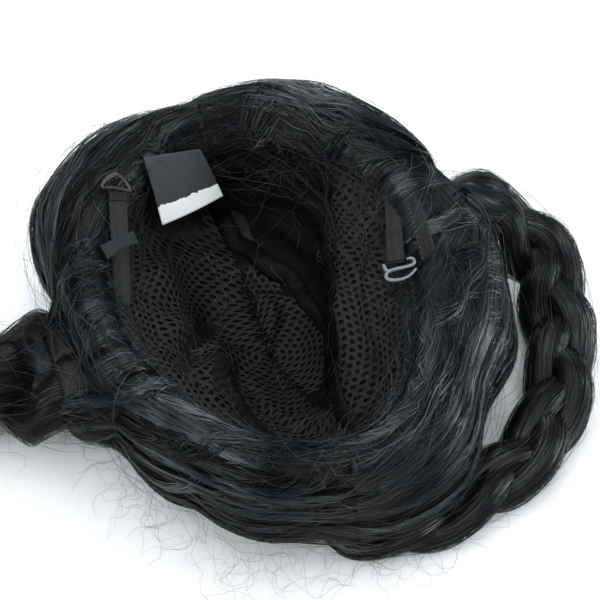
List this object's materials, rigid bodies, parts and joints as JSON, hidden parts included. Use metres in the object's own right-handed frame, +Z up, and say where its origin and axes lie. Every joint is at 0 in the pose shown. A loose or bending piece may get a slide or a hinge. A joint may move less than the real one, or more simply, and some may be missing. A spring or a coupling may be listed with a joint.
{
  "type": "pigtail wig",
  "caption": "Black wig with two plaited pigtails, lying crown down, its net-lined cap open to the top with adjuster straps and a sewn-in label.",
  "frame": {"origin": "on the table, under the middle of the cap, where the parting crosses the flat on which the crown rests", "axes": "+Z up from the table, towards the cap's opening; +Y from the brow to the nape; +X towards the wearer's right"},
  "size_m": [0.48, 0.2675, 0.1015],
  "materials": {
    "hair": "smooth synthetic fibre with a cool sheen",
    "net": "coarse knitted net",
    "tape": "woven tape",
    "elastic": "ribbed elastic",
    "hook_black": "moulded",
    "hook_grey": "moulded, slightly cloudy",
    "label": "satin ribbon with a bare white lower band"
  },
  "bodies": {
    "root": {"net_cap": "net", "edge_tape": "tape", "hair_left": "hair", "hair_right": "hair", "braid_left": "hair", "braid_right": "hair", "braid_tie_left": "elastic", "braid_tie_right": "elastic", "tuft_left": "hair", "tuft_right": "hair", "strap_left": "elastic", "strap_right": "elastic", "strap_keeper_left": "tape", "hook_left": "hook_black", "hook_right": "hook_grey", "care_label": "label", "side_tape_right": "tape"}
  },
  "joints": []
}
